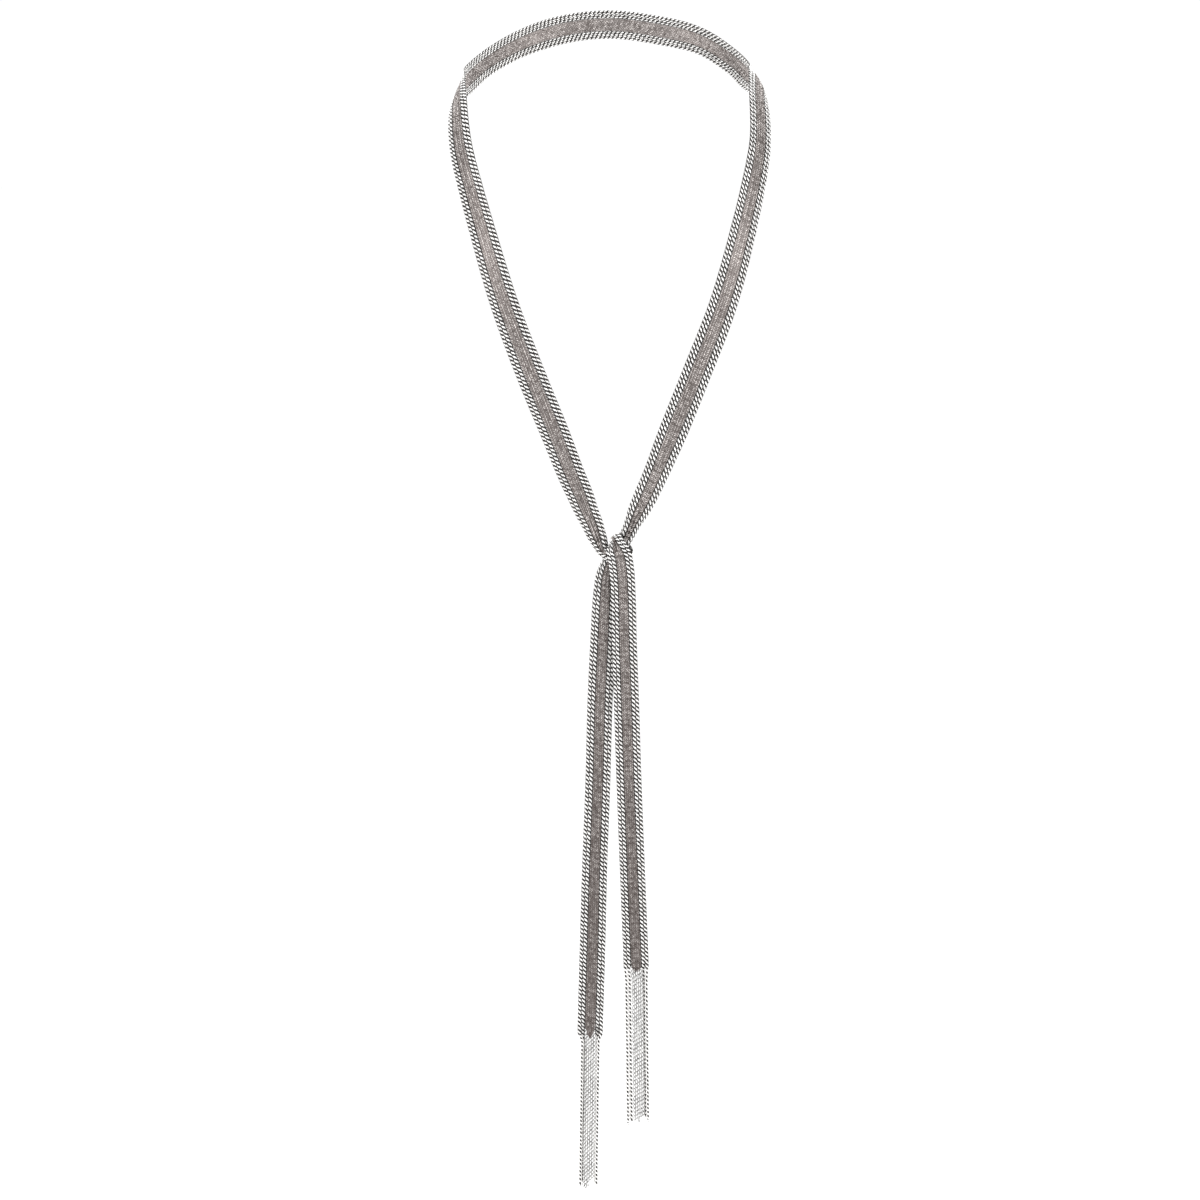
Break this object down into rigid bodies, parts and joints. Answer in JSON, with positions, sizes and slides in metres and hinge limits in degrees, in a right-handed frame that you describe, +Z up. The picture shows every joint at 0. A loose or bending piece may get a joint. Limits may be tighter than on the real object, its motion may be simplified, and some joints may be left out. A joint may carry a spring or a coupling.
{
  "type": "ribbon necklace",
  "caption": "Long flat ribbon necklace of fine chain mesh with coarse chain edges, half-knotted at the front into hanging tails of uneven length that end in loose chain fringes.",
  "frame": {"origin": "middle of the ribbon's inner face at the back of the neck, where it rests", "axes": "+Z up as worn, along the hanging tails; +Y backwards, out of the nape; -Y forwards, to the viewer of the knot; +X to the viewer's right"},
  "size_m": [0.1594, 0.1224, 0.6045],
  "materials": {
    "fine_mesh": "darkened silver-grey metal mesh, glittering",
    "coarse_chain": "bright polished silver-grey links",
    "fine_chain": "silver-grey fine links"
  },
  "bodies": {
    "root": {"mesh_band": "fine_mesh", "neck_edge_outer_chain": "coarse_chain", "neck_edge_inner_chain": "coarse_chain", "drop_edge_inner_chain": "coarse_chain", "drop_edge_outer_chain": "coarse_chain", "long_tail_fringe": "fine_chain", "short_tail_fringe": "fine_chain"}
  },
  "joints": []
}
